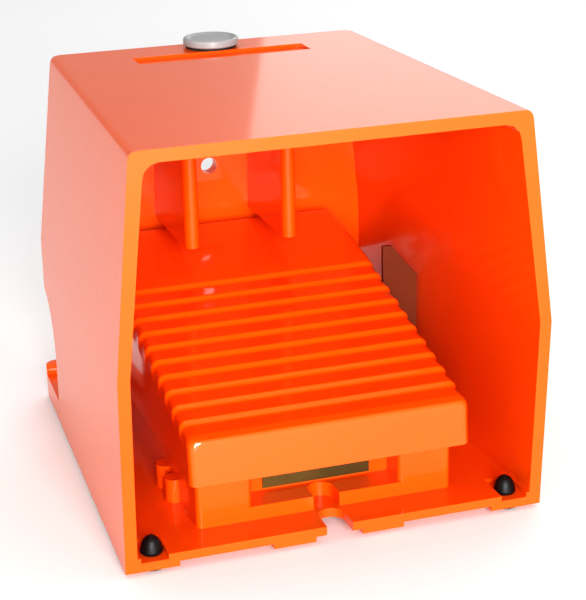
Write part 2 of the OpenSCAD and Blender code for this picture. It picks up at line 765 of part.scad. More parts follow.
module entry_seal() {
    color(rubber) centred() entry_place() difference() {
        cylinder(d = entry_d + 4, h = 1.5);
        translate([0, 0, -1]) cylinder(d = entry_d, h = 4);
    }
}

module shaft_bushes() {
    color(brass) centred() for (s = [0, 1]) mirror([s, 0, 0])
        translate([body_w / 2 - ear_in - ear_t, pivot_y, pivot_z]) rotate([0, 90, 0]) difference() {
            cylinder(r = shaft_d / 2 + bush_t, h = ear_t);
            translate([0, 0, -1]) cylinder(r = shaft_d / 2 + run_gap, h = 20);
        }
}

// ---------- Treadle ----------

// Side view of the treadle: front lip, fluted slope and plain rear
module tread_outline() {
    difference() {
        polygon([[tread_front, skirt_z], [tread_front + 1.5, lip_top - 2],
            [tread_front + 3.5, tread_z(tread_front + 3.5)],
            [kink_y, kink_z], [tread_rear, rear_z], [tread_rear, stop_z], [tread_rear - tread_wall, stop_z],
            [pivot_y - 18, skirt_z]]);
        flutes();
    }
}

// Side view of the hollow under the treadle
module tread_hollow() {
    y0 = tread_front + tread_wall;
    y1 = tread_rear - tread_wall;
    step = kink_y + 8;
    polygon([[y0, skirt_z - 9], [y0 + 1.5, tread_z(y0 + 1.5) - under], [kink_y, kink_z - under],
        [step, tread_z(step) - tread_top], [y1, rear_z - tread_top - 0.4], [y1, stop_z - 40],
        [pivot_y - 18, skirt_z - 9]]);
}

// One flute is a slanted face that rolls into a sharp crest in front of it
module flutes() {
    for (i = [0:flute_count - 1]) {
        y = tread_front + 3.5 + i * flute_run;
        z = tread_z(y);
        translate([y, z]) rotate(flute_slope) translate([flute_pitch * 0.62, 7 - flute_deep])
            circle(r = 7);
    }
}

module treadle() {
    color(paint) centred() difference() {
        union() {
            difference() {
                along_x(tread_w) tread_outline();
                along_x(2 * tread_inner) tread_hollow();
            }
            intersection() {
                along_x(tread_w) tread_outline();
                union() {
                    // pad over the plunger and seats of the return springs
                    translate([0, plunger_y, pad_z]) cylinder(r = 7, h = 20);
                    for (s = [-1, 1]) translate([s * spring_x, spring_y, spring_seat_z]) {
                        cylinder(r = spring_r + 1.5, h = 20);
                        translate([0, 0, -2]) cylinder(r = spring_r - spring_wire / 2 - 0.5, h = 3);
                    }
                    // stiffening ribs under the plain part
                    for (s = [-1, 1]) translate([s * 24, 0, 0]) along_x(3) polygon([
                        [kink_y - 12, tread_z(kink_y - 12) - under + 1],
                        [kink_y - 12, tread_z(kink_y - 12) - under - 2],
                        [tread_rear - 1, rear_z - tread_top - 2.6], [tread_rear - 1, rear_z - 1]]);
                }
            }
            // cheeks round the shaft
            for (s = [0, 1]) mirror([s, 0, 0]) translate([body_w / 2 - 2.2, pivot_y, pivot_z])
                rotate([0, 90, 0]) cylinder(r = shaft_d / 2 + bush_t, h = tread_inner - body_w / 2 + 3);
        }
        translate([-tread_w, pivot_y, pivot_z]) rotate([0, 90, 0])
            cylinder(d = shaft_d + 0.02, h = 2 * tread_w);
        // rounded shoulders along both sides
        for (s = [0, 1]) mirror([s, 0, 0]) shoulder();
    }
}

// What the shoulder radius takes off one long top edge, front corner and rear corner
module shoulder() {
    r = tread_r;
    slope_l = (kink_y - tread_front) / cos(flute_slope);
    translate([tread_w / 2 - r, kink_y, kink_z]) rotate([flute_slope, 0, 0])
        translate([0, -slope_l - 20, -r]) edge_strip(r, slope_l + 20);
    translate([tread_w / 2 - r, kink_y, kink_z]) rotate([rear_slope, 0, 0])
        translate([0, 0, -r]) edge_strip(r, 60);
    translate([tread_w / 2 - r, tread_front + r, -1]) difference() {
        translate([0, -r - 5, 0]) cube([r + 5, r + 5, 200]);
        translate([0, 0, -1]) cylinder(r = r, h = 210);
    }
}

module edge_strip(r, l) {
    difference() {
        cube([r + 5, l, r + 5]);
        translate([0, -1, 0]) rotate([-90, 0, 0]) cylinder(r = r, h = l + 2);
    }
}

module treadle_shaft() {
    l = tread_w + 6;
    color(zinc) centred() translate([-l / 2, pivot_y, pivot_z]) rotate([0, 90, 0]) difference() {
        cylinder(d = shaft_d, h = l);
        for (z = [1.3, l - 2.5]) translate([0, 0, z]) difference() {
            cylinder(d = shaft_d + 2, h = 1.2);
            translate([0, 0, -1]) cylinder(d = shaft_d - 2, h = 4);
        }
    }
}

module shaft_rings() {
    l = tread_w + 6;
    color(zinc) centred() for (s = [0, 1]) mirror([s, 0, 0])
        translate([l / 2 - 2.4, pivot_y, pivot_z]) rotate([0, 90, 0]) difference() {
            cylinder(d = shaft_d + 5, h = 1);
            translate([0, 0, -1]) cylinder(d = shaft_d - 2 + 0.1, h = 4);
            translate([-1.6, 0, -1]) cube([3.2, shaft_d, 4]);
        }
}

module treadle_buffers() {
    color(rubber) centred() for (s = [-1, 1]) translate([s * buffer_x, buffer_y, roof_z(buffer_y) - pocket])
        cylinder(r = buffer_r, h = buffer_top - roof_z(buffer_y) + pocket);
}

// Wire wound round the Z axis, from z = 0 to the given length
module coil(r, wire, l, turns, sides, steps) {
    n = turns * steps;
    pts = [for (i = [0:n], k = [0:sides - 1]) let (a = 360 * i / steps, b = 360 * k / sides,
        q = r + wire / 2 * cos(b))
            [q * cos(a), q * sin(a), wire / 2 + (l - wire) * i / n + wire / 2 * sin(b)]];
    walls = [for (i = [0:n - 1], k = [0:sides - 1]) let (m = (k + 1) % sides)
        [i * sides + k, (i + 1) * sides + k, (i + 1) * sides + m, i * sides + m]];
    polyhedron(pts, concat([[for (k = [0:sides - 1]) k]], walls,
        [[for (k = [sides - 1:-1:0]) n * sides + k]]), convexity = 8);
}

module return_springs() {
    z0 = roof_z(spring_y) - pocket;
    z1 = spring_seat_z - 0.1;
    color(zinc) centred() for (s = [-1, 1]) translate([s * spring_x, spring_y, z0 + 0.1])
        coil(spring_r, spring_wire, z1 - z0 - 0.1, 5, 6, 14);
}

// ---------- Switching parts ----------

module plunger_bush() {
    color(brass) centred() translate([0, plunger_y, 0]) difference() {
        union() {
            translate([0, 0, bush_low + 3]) cylinder(r = bush_r, h = spot_z - bush_low - 3 + eps);
            translate([0, 0, spot_z]) cylinder(r = bush_r + 2, h = bush_flange_t);
        }
        translate([0, 0, bush_low]) cylinder(r = plunger_d / 2 + run_gap, h = through);
    }
}

module plunger_seal() {
    color(rubber) centred() translate([0, plunger_y, bush_low + 0.2]) difference() {
        cylinder(r = bush_r - 0.05, h = 2.7);
        translate([0, 0, -1]) cylinder(r = plunger_d / 2 + run_gap, h = 9);
    }
}

module plunger() {
    w = block_pitch + yoke_w;
    color(zinc) centred() translate([0, plunger_y, 0]) {
        translate([-w / 2, -yoke_w / 2, yoke_z]) cube([w, yoke_w, yoke_t]);
        rotate_extrude() intersection() {
            translate([0, yoke_z + 1]) square([plunger_d / 2, plunger_top - yoke_z]);
            translate([0, plunger_top - dome_r]) union() {
                circle(dome_r);
                translate([0, -60]) square([dome_r, 60]);
            }
        }
    }
}

module contact_screw_places() {
    for (s = [-1, 1]) translate([0, plunger_y + s * 18, 0]) children();
}

module contact_plate() {
    w = block_pitch + block_w + 13;
    z = gasket_z;
    color(zinc) centred() difference() {
        translate([-w / 2, plunger_y - block_end - 3, z]) cube([w, 2 * block_end + 6, contact_z - z]);
        contact_screw_places() translate([0, 0, z - 1]) cylinder(d = 2.9, h = 9);
        block_screw_places() translate([0, 0, z - 1]) cylinder(d = 3, h = 9);
    }
}

module contact_plate_screws() {
    color(zinc) centred() contact_screw_places() translate([0, 0, contact_z])
        pan_screw(2.8, contact_z - plate_z - 0.2, 5.5, 1.8);
}

module block_screw_places() {
    for (s = [-1, 1], t = [-1, 1])
        translate([s * block_pitch / 2 + t * (block_w / 2 + 2.8), plunger_y, 0]) children();
}

// Moulded contact block: chamber, two terminal shelves at each end, and fixing ears
module contact_block() {
    w = block_w;
    in = block_skin;
    color(moulding) centred() difference() {
        union() {
            translate([-w / 2, -block_d / 2, contact_z]) cube([w, block_d, block_h]);
            for (s = [0, 1]) mirror([0, s, 0]) {
                translate([-w / 2, block_d / 2 - eps, contact_z]) {
                    cube([w, shelf, no_z - strip_t - contact_z]);
                    cube([w / 2 - 1, shelf, nc_z - contact_z]);
                }
            }
            translate([-w / 2 - 5.5, -4, contact_z]) cube([w + 11, 8, 2.5]);
        }
        translate([-w / 2 + in, -block_d / 2 + in, contact_z + 1.2])
            cube([w - 2 * in, block_d - 2 * in, block_h - 1.2 - in]);
        cylinder_hole(0, 0, block_top, 3.08);
        for (s = [-1, 1]) {
            translate([-strip_x - strip_w / 2 - 0.1, s * block_d / 2 - 2, nc_z])
                cube([strip_w + 0.2, 4, strip_t + 0.1]);
            translate([strip_x - strip_w / 2 - 0.1, s * block_d / 2 - 2, no_z - strip_t])
                cube([strip_w + 0.2, 4, strip_t + 0.1]);
            cylinder_hole(-strip_x, s * (block_end - 4.5), nc_z, 1.55);
            cylinder_hole(strip_x, s * (block_end - 4.5), no_z - strip_t, 1.55);
            cylinder_hole(s * (w / 2 + 2.8), 0, contact_z + 2.5, 1.6);
        }
    }
}

module cylinder_hole(x, y, top, r) {
    translate([x, y, top - 5]) cylinder(r = r, h = 6);
}

module block_at(s) {
    translate([s * block_pitch / 2, plunger_y, 0]) children();
}

module contact_block_left() { block_at(-1) contact_block(); }
module contact_block_right() { block_at(1) contact_block(); }

module block_screws() {
    color(zinc) centred() block_screw_places() translate([0, 0, contact_z + 2.5])
        pan_screw(2.9, 4.5, 5, 1.8);
}

// Carrier: stem through the block's top and a crosspiece that holds the bridges
module contact_carrier() {
    color([0.75, 0.20, 0.15]) centred() {
        translate([0, 0, bridge_z - eps]) cylinder(r = 3, h = carrier_top - bridge_z);
        translate([-8.5, -3, bridge_z - cross_t]) cube([17, 6, cross_t]);
    }
}

module contact_carrier_left() { block_at(-1) contact_carrier(); }
module contact_carrier_right() { block_at(1) contact_carrier(); }

module contact_bridges() {
    color(brass) centred() for (s = [-1, 1]) difference() {
        translate([s * strip_x - 2, -block_d / 2 + 2.2, bridge_z]) cube([4, block_d - 4.4, bridge_t]);
        translate([0, 0, bridge_z - 1]) cylinder(r = 3.2, h = 4);
    }
}

module contact_bridges_left() { block_at(-1) contact_bridges(); }
module contact_bridges_right() { block_at(1) contact_bridges(); }

module contact_strips() {
    color(brass) centred() for (s = [0, 1]) mirror([0, s, 0]) {
        contact_strip(-strip_x, nc_z);
        contact_strip(strip_x, no_z - strip_t);
    }
}

module contact_strip(x, z) {
    difference() {
        translate([x - strip_w / 2, 5, z]) cube([strip_w, block_end - 5.5, strip_t]);
        translate([x, block_end - 4.5, z - 1]) cylinder(r = 1.6, h = 4);
    }
}

module contact_strips_left() { block_at(-1) contact_strips(); }
module contact_strips_right() { block_at(1) contact_strips(); }

module terminal_screws() {
    color(zinc) centred() for (s = [-1, 1]) {
        translate([-strip_x, s * (block_end - 4.5), nc_z + strip_t]) pan_screw(3, 4.5, 5.4, 2);
        translate([strip_x, s * (block_end - 4.5), no_z]) pan_screw(3, 4.5, 5.4, 2);
    }
}

module terminal_screws_left() { block_at(-1) terminal_screws(); }
module terminal_screws_right() { block_at(1) terminal_screws(); }

module contact_springs() {
    l = bridge_z - cross_t - contact_z - 1.2 - 0.1;
    color(zinc) centred() for (s = [-1, 1]) block_at(s) translate([0, 0, contact_z + 1.25])
        coil(2.2, 0.5, l, 3, 5, 12);
}

module earth_screw() {
    color(zinc) centred() translate([0, earth_y, earth_z - 1.2]) rotate([180, 0, 0])
        pan_screw(3.9, 8, 8, 2.6);
}

module earth_clamp() {
    color(brass) centred() translate([0, earth_y, earth_z - 1.2]) difference() {
        translate([-5, -5, 0]) cube([10, 10, 1.15]);
        translate([0, 0, -1]) cylinder(d = 4.2, h = 9);
    }
}

guard_hood();
hood_plug();
plug_washer();
rubber_feet();
side_bracket();
bracket_screws();
switch_body();
rating_plate();
bottom_plate();
bottom_gasket();
bottom_screws();
body_screws();
entry_plug();
entry_seal();
shaft_bushes();
treadle();
treadle_shaft();
shaft_rings();
treadle_buffers();
return_springs();
plunger_bush();
plunger_seal();
plunger();
contact_plate();
contact_plate_screws();
contact_block_left();
contact_block_right();
block_screws();
contact_carrier_left();
contact_carrier_right();
contact_bridges_left();
contact_bridges_right();
contact_strips_left();
contact_strips_right();
terminal_screws_left();
terminal_screws_right();
contact_springs();
earth_screw();
earth_clamp();
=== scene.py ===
import math
import bpy
import bmesh
import numpy as np
from mathutils import Matrix, Vector


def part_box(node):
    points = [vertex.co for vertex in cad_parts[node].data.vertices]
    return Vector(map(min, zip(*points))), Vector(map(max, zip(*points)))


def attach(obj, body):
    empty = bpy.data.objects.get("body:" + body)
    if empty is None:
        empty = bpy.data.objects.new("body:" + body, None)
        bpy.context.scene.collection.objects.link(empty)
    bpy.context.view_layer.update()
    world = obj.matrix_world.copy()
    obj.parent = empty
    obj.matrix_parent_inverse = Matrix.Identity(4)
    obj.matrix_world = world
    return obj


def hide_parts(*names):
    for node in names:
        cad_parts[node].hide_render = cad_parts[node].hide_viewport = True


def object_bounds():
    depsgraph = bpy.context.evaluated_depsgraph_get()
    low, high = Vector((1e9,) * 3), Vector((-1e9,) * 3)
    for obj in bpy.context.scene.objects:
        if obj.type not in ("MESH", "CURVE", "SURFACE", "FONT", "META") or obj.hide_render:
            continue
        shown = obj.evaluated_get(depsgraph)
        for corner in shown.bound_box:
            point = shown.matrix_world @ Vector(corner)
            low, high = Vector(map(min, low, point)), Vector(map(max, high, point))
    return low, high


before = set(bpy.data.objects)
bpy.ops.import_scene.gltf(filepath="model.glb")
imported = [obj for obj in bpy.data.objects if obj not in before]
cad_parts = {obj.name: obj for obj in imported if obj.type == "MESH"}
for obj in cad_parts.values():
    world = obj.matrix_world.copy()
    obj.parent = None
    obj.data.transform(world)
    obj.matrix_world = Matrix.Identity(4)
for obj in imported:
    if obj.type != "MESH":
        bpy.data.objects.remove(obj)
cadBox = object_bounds()
mm = 0.001
frontY = cadBox[0].y / mm  # the y of the hood's front edge; the shapes below count y from there
print("frame loaded", [round(v, 4) for v in (*cadBox[0], *cadBox[1])])


def nodeBox(name):
    # lowest and highest corner of a node in mm, y from the hood's front edge
    lo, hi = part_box(name)
    shift = np.array([0, frontY, 0])
    return np.array(lo) / mm - shift, np.array(hi) / mm - shift


# mesh tools

class Shape:
    # collects closed shells given as vertex arrays and faces, and makes one object of them
    def __init__(self):
        self.points, self.faces, self.count = [], [], 0

    def add(self, points, faces):
        self.points.append(np.asarray(points, float))
        self.faces += [[i + self.count for i in f] for f in faces]
        self.count += len(points)
        return self

    def grid(self, p, closeAcross=False, caps=False):
        # p[i, j] runs along i and across j; quads join neighbours
        n, m = p.shape[:2]
        i, j = np.meshgrid(np.arange(n - 1), np.arange(m if closeAcross else m - 1), indexing="ij")
        k = (j + 1) % m
        quads = np.stack([i * m + j, i * m + k, (i + 1) * m + k, (i + 1) * m + j], -1).reshape(-1, 4)
        faces = quads.tolist()
        if caps:
            faces.append(list(range(m))[::-1])
            faces.append([(n - 1) * m + a for a in range(m)])
        return self.add(p.reshape(-1, 3), faces)

    def build(self, name, body, slotName, nodeNames=(), material=None, smooth=35, weld=0.002):
        points = np.concatenate(self.points)
        points[:, 1] += frontY
        mesh = bpy.data.meshes.new(name)
        mesh.from_pydata((points * mm).tolist(), [], self.faces)
        bm = bmesh.new()
        bm.from_mesh(mesh)
        bmesh.ops.remove_doubles(bm, verts=bm.verts, dist=weld * mm)
        bmesh.ops.dissolve_degenerate(bm, edges=bm.edges, dist=weld * mm * 0.5)
        bmesh.ops.recalc_face_normals(bm, faces=bm.faces)
        bm.to_mesh(mesh)
        bm.free()
        mesh.polygons.foreach_set("use_smooth", np.ones(len(mesh.polygons), bool))
        mesh.set_sharp_from_angle(angle=math.radians(smooth))
        piece = bpy.data.objects.new(name, mesh)
        bpy.context.scene.collection.objects.link(piece)
        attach(piece, body)
        if nodeNames:
            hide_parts(*nodeNames)
        if material:
            mesh.materials.append(material)
        return piece


def inward(outline, distance):
    # the outline moved inwards along the mean normal of its two neighbours
    before, after = outline - np.roll(outline, 1, 0), np.roll(outline, -1, 0) - outline
    before /= np.maximum(np.linalg.norm(before, axis=1, keepdims=True), 1e-9)
    after /= np.maximum(np.linalg.norm(after, axis=1, keepdims=True), 1e-9)
    area = np.sum(outline[:, 0] * np.roll(outline[:, 1], -1) - np.roll(outline[:, 0], -1) * outline[:, 1])
    n = (before + after) * (1 if area > 0 else -1)
    n = np.stack([-n[:, 1], n[:, 0]], -1)
    size = np.linalg.norm(n, axis=1, keepdims=True)
    n = np.where(size > 1e-6, n / np.maximum(size, 1e-6), 0)
    return outline + n * distance * np.minimum(2 / np.maximum(size, 1.2), 1.6)


def prism(shape, outline, lo, hi, edge=0.5, steps=3):
    # an outline in y and z carried from x = lo to x = hi, its two rims rounded by quarter arcs
    a = np.linspace(0, math.pi / 2, steps + 1)
    rings = [(lo + edge * (1 - math.sin(t)), edge * (1 - math.cos(t))) for t in a[::-1]]
    rings += [(hi - edge * (1 - math.sin(t)), edge * (1 - math.cos(t))) for t in a]
    layers = []
    for x, draw in rings:
        flat = inward(outline, draw)
        layers.append(np.hstack([np.full((len(flat), 1), x), flat]))
    return shape.grid(np.stack(layers), closeAcross=True, caps=True)


def lathe(shape, profile, centre, axis="z", steps=48):
    # a profile of (radius, height) pairs turned round the z or the x axis
    p = np.asarray(profile, float)
    t = np.linspace(0, 2 * math.pi, steps, endpoint=False)
    r, h = np.maximum(p[:, :1], 1e-4), p[:, 1:] * np.ones((1, steps))
    u, v = r * np.cos(t), r * np.sin(t)
    parts = {"z": (u, v, h), "x": (h, u, v)}[axis]
    return shape.grid(np.stack(parts, -1) + np.asarray(centre, float), closeAcross=True, caps=True)


def arcPoints(cx, cy, r, a0, a1, n):
    # points on an arc of a profile, angles in degrees
    t = np.radians(np.linspace(a0, a1, n))
    return np.stack([cx + r * np.cos(t), cy + r * np.sin(t)], -1)

# shader tools

class Wire:
    # wraps an output socket, so that an expression on wires adds its Math nodes
    def __init__(self, finish, socket):
        self.finish, self.socket = finish, socket

    def math(self, operation, *terms):
        return self.finish.node("ShaderNodeMath", {"operation": operation}, list(terms))

    def __add__(self, other): return self.math("ADD", self, other)
    def __sub__(self, other): return self.math("SUBTRACT", self, other)
    def __rsub__(self, other): return self.math("SUBTRACT", other, self)
    def __mul__(self, other): return self.math("MULTIPLY", self, other)
    def __truediv__(self, other): return self.math("DIVIDE", self, other)
    def __rtruediv__(self, other): return self.math("DIVIDE", other, self)
    def __pow__(self, other): return self.math("POWER", self, other)
    __radd__ = __add__
    __rmul__ = __mul__

    def between(self, lo, hi):
        # 0 below lo, 1 above hi, smooth in between
        return self.finish.node("ShaderNodeMapRange", {"interpolation_type": "SMOOTHSTEP"},
                                {"Value": self, "From Min": lo, "From Max": hi})


class Finish:
    # a material: constants go on the Principled shader's own sockets, patterns come in by wires
    def __init__(self, name, **constants):
        self.material = bpy.data.materials.new(name)
        self.material.use_nodes = True
        self.tree = self.material.node_tree
        self.shader = self.tree.nodes["Principled BSDF"]
        for key, value in constants.items():
            self.shader.inputs[key.replace("_", " ")].default_value = value
        self.place = self.node("ShaderNodeTexCoord", out="Object")

    def node(self, kind, settings=None, values=(), out=0):
        made = self.tree.nodes.new(kind)
        for key, value in (settings or {}).items():
            if key == "stops":
                ramp = made.color_ramp
                while len(ramp.elements) < len(value):
                    ramp.elements.new(0.5)
                for element, (at, colour) in zip(ramp.elements, value):
                    element.position, element.color = at, colour
            else:
                setattr(made, key, value)
        pairs = values.items() if isinstance(values, dict) else enumerate(values)
        for key, value in pairs:
            if isinstance(value, Wire):
                self.tree.links.new(value.socket, made.inputs[key])
            else:
                made.inputs[key].default_value = value
        return Wire(self, made.outputs[out])

    def noise(self, scale, detail=3.0, rough=0.55, place=None):
        return self.node("ShaderNodeTexNoise", {}, {"Vector": place or self.place, "Scale": scale,
                                                    "Detail": detail, "Roughness": rough})

    def mix(self, factor, a, b):
        # a where the factor is 0, b where it is 1
        return self.node("ShaderNodeMix", {"data_type": "RGBA"}, {0: factor, 6: a, 7: b}, out=2)

    def bump(self, height, strength, distance, normal=None):
        values = {"Strength": strength, "Distance": distance, "Height": height}
        if normal:
            values["Normal"] = normal
        return self.node("ShaderNodeBump", {}, values)

    def stretched(self, x, y, z):
        # the place on the piece, scaled apart along each axis
        return self.node("ShaderNodeVectorMath", {"operation": "MULTIPLY"}, {0: self.place, 1: (x, y, z)})

    def feed(self, **links):
        for key, wire in links.items():
            self.tree.links.new(wire.socket, self.shader.inputs[key.replace("_", " ")])
        return self.material


def enamel(name, base, deep, sheen=0.6, roughness=0.34):
    # baked enamel over a die casting: a faint cloud in the colour, fine orange peel, and a duller touch
    f = Finish(name, Coat_Weight=sheen, Coat_Roughness=0.07, Specular_IOR_Level=0.22)
    cloud = f.noise(9, 3)
    peel = f.noise(620, 2) * 0.6 + f.noise(190, 2) * 0.4
    return f.feed(Base_Color=f.mix(cloud.between(0.3, 0.72), base, deep),
                  Roughness=roughness + 0.05 * f.noise(240, 2),
                  Normal=f.bump(peel, 0.10, 0.0002))


def rubber(name, base, pale, roughness=0.62):
    # moulded rubber: dull, with a fine grain and a little dust in random patches
    f = Finish(name, Specular_IOR_Level=0.4)
    dust = f.noise(55, 4)
    return f.feed(Base_Color=f.mix(dust.between(0.45, 0.8), base, pale),
                  Roughness=roughness + 0.14 * f.noise(300, 2),
                  Normal=f.bump(f.noise(900, 2), 0.25, 0.0002))


def plated(name, base, tint, roughness=0.30, streak=(1, 1, 1)):
    # zinc or nickel plate: metallic, with soft clouds and fine tooling streaks along one axis
    f = Finish(name, Metallic=1.0)
    lines = f.noise(700, 2, place=f.stretched(*streak))
    return f.feed(Base_Color=f.mix(f.noise(40, 4).between(0.35, 0.7), base, tint),
                  Roughness=roughness + 0.16 * lines,
                  Normal=f.bump(lines, 0.12, 0.0001))


def moulded(name, base, pale, roughness=0.42):
    # thermoset moulding: a satin skin with fine mottling
    f = Finish(name, Specular_IOR_Level=0.5)
    return f.feed(Base_Color=f.mix(f.noise(120, 3).between(0.35, 0.75), base, pale),
                  Roughness=roughness + 0.12 * f.noise(240, 2),
                  Normal=f.bump(f.noise(800, 2), 0.12, 0.0002))


colours = {
    "orange": (0.86, 0.118, 0.002, 1), "orangeDeep": (0.84, 0.108, 0.002, 1),
    "brown": (0.17, 0.040, 0.014, 1), "brownDeep": (0.12, 0.028, 0.010, 1),
    "olive": (0.20, 0.16, 0.055, 1), "oliveDeep": (0.14, 0.115, 0.045, 1),
    "black": (0.005, 0.005, 0.006, 1), "blackDust": (0.012, 0.012, 0.012, 1),
}
hoodEnamel = enamel("hoodEnamel", colours["orange"], colours["orangeDeep"])
treadEnamel = enamel("treadEnamel", colours["orange"], colours["orangeDeep"], sheen=1.0, roughness=0.30)
bodyEnamel = enamel("bodyEnamel", colours["orange"], colours["orangeDeep"])
bracketLacquer = enamel("bracketLacquer", colours["brown"], colours["brownDeep"], sheen=0.1, roughness=0.5)
blankPlate = plated("blankPlate", colours["olive"], colours["oliveDeep"], 0.38, (1, 8, 8))
footRubber = rubber("footRubber", colours["black"], colours["blackDust"], 0.42)
sealRubber = rubber("sealRubber", (0.020, 0.019, 0.018, 1), (0.045, 0.043, 0.040, 1), 0.55)
bufferRubber = rubber("bufferRubber", (0.030, 0.029, 0.028, 1), (0.06, 0.058, 0.055, 1), 0.58)
plugPlastic = moulded("plugPlastic", (0.33, 0.325, 0.325, 1), (0.38, 0.375, 0.37, 1), 0.30)
entryPlastic = moulded("entryPlastic", (0.055, 0.055, 0.060, 1), (0.080, 0.080, 0.085, 1), 0.40)
contactMoulding = moulded("contactMoulding", (0.62, 0.56, 0.42, 1), (0.70, 0.64, 0.50, 1), 0.45)
carrierMoulding = moulded("carrierMoulding", (0.42, 0.035, 0.020, 1), (0.50, 0.050, 0.030, 1), 0.40)
zincPlate = plated("zincPlate", (0.62, 0.63, 0.64, 1), (0.52, 0.54, 0.56, 1), 0.28)
plateZinc = plated("plateZinc", (0.56, 0.57, 0.57, 1), (0.48, 0.49, 0.50, 1), 0.36, (1, 12, 1))
shaftSteel = plated("shaftSteel", (0.56, 0.55, 0.54, 1), (0.48, 0.47, 0.46, 1), 0.20, (12, 1, 1))
springSteel = plated("springSteel", (0.50, 0.50, 0.51, 1), (0.40, 0.41, 0.42, 1), 0.24, (1, 1, 6))
brassMetal = plated("brassMetal", (0.72, 0.50, 0.20, 1), (0.62, 0.42, 0.17, 1), 0.26, (1, 6, 1))
silverTip = plated("silverTip", (0.74, 0.70, 0.60, 1), (0.66, 0.58, 0.44, 1), 0.22)
bronzeBush = plated("bronzeBush", (0.50, 0.33, 0.15, 1), (0.40, 0.26, 0.12, 1), 0.34, (8, 1, 1))

nodeFinish = {
    "guard_hood": hoodEnamel, "hood_plug": plugPlastic, "plug_washer": sealRubber, "rubber_feet": footRubber,
    "side_bracket": bracketLacquer, "bracket_screws": zincPlate, "switch_body": bodyEnamel,
    "rating_plate": blankPlate, "bottom_plate": plateZinc, "bottom_gasket": sealRubber,
    "bottom_screws": zincPlate, "body_screws": zincPlate, "entry_plug": entryPlastic,
    "entry_seal": sealRubber, "shaft_bushes": bronzeBush, "treadle": treadEnamel,
    "treadle_shaft": shaftSteel, "shaft_rings": springSteel,
    "treadle_buffers": bufferRubber, "return_springs": springSteel, "plunger_bush": brassMetal,
    "plunger_seal": sealRubber, "plunger": shaftSteel, "contact_plate": plateZinc,
    "contact_plate_screws": zincPlate, "contact_block_left": contactMoulding,
    "contact_block_right": contactMoulding, "block_screws": zincPlate,
    "contact_carrier_left": carrierMoulding,
    "contact_carrier_right": carrierMoulding, "contact_bridges_left": silverTip,
    "contact_bridges_right": silverTip, "contact_strips_left": brassMetal, "contact_strips_right": brassMetal,
    "terminal_screws_left": zincPlate, "terminal_screws_right": zincPlate, "contact_springs": springSteel,
    "earth_screw": zincPlate, "earth_clamp": brassMetal,
}
for name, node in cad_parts.items():
    node.data.materials.clear()
    node.data.materials.append(nodeFinish[name])
print("finishes set on", len(nodeFinish), "nodes")


# castings: the frame's own solids with softened edges

casting = {
    "hoodEdge": 1.1,  # radius of the cast edges of the hood, mm
    "bodyEdge": 0.9,
    "bracketEdge": 0.5,
    "sharpest": 28,  # edges that turn less than this stay as they are, degrees
}


def softCopy(nodeName, name, body, width, finish, segments=3):
    # a merged copy of a node's mesh, its flat faces made one again, its edges rounded by a bevel
    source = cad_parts[nodeName]
    mesh = source.data.copy()
    mesh.name = name
    bm = bmesh.new()
    bm.from_mesh(mesh)
    bmesh.ops.remove_doubles(bm, verts=bm.verts, dist=0.00002)
    bmesh.ops.dissolve_limit(bm, angle_limit=math.radians(1.0), verts=bm.verts, edges=bm.edges)
    bm.to_mesh(mesh)
    bm.free()
    mesh.materials.clear()
    mesh.materials.append(finish)
    mesh.polygons.foreach_set("use_smooth", np.ones(len(mesh.polygons), bool))
    piece = bpy.data.objects.new(name, mesh)
    bpy.context.scene.collection.objects.link(piece)
    softEdge = piece.modifiers.new("castEdges", "BEVEL")
    softEdge.width, softEdge.segments = width * mm, segments
    softEdge.limit_method, softEdge.angle_limit = "ANGLE", math.radians(casting["sharpest"])
    evened = piece.modifiers.new("evenShading", "WEIGHTED_NORMAL")
    evened.weight = 100
    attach(piece, body)
    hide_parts(nodeName)
    return piece


hoodShell = softCopy("guard_hood", "hoodShell", "base", casting["hoodEdge"], hoodEnamel)
bodyShell = softCopy("switch_body", "bodyShell", "base", casting["bodyEdge"], bodyEnamel)
bracketPlate = softCopy("side_bracket", "bracketPlate", "base", casting["bracketEdge"],
                        bracketLacquer)
print("castings softened")

# treadle

lowTread, highTread = nodeBox("treadle")
treadleShape = {
    "half": highTread[0], "front": lowTread[1], "rear": highTread[1], "skirt": lowTread[2],
    "lip": 17, "slope": 13.7, "rearSlope": 9, "lean": 1.5,  # the front face leans back by this much
    "leanHigh": 15, "leanBack": 8,  # the height over which it leans, and how far back the lean fades out
    "pitch": 9.7, "flutes": 10, "deep": 1.35,
    "riser": 0.17,  # share of the pitch that a flute's front riser takes
    "sideDeep": 0.55,  # depth of the flutes on the sides, as a share of their depth on top
    "crest": 0.28,  # rounding of the crests
    "shoulder": 3.2, "frontEdge": 1.2, "rearEdge": 0.9, "wall": 3, "top": 3.5,
    "stop": 53.8, "rise": 129,  # lower end of the rear wall, and where the skirt starts to climb to it
    "curl": 2.2,  # how far the flutes run down the sides
}


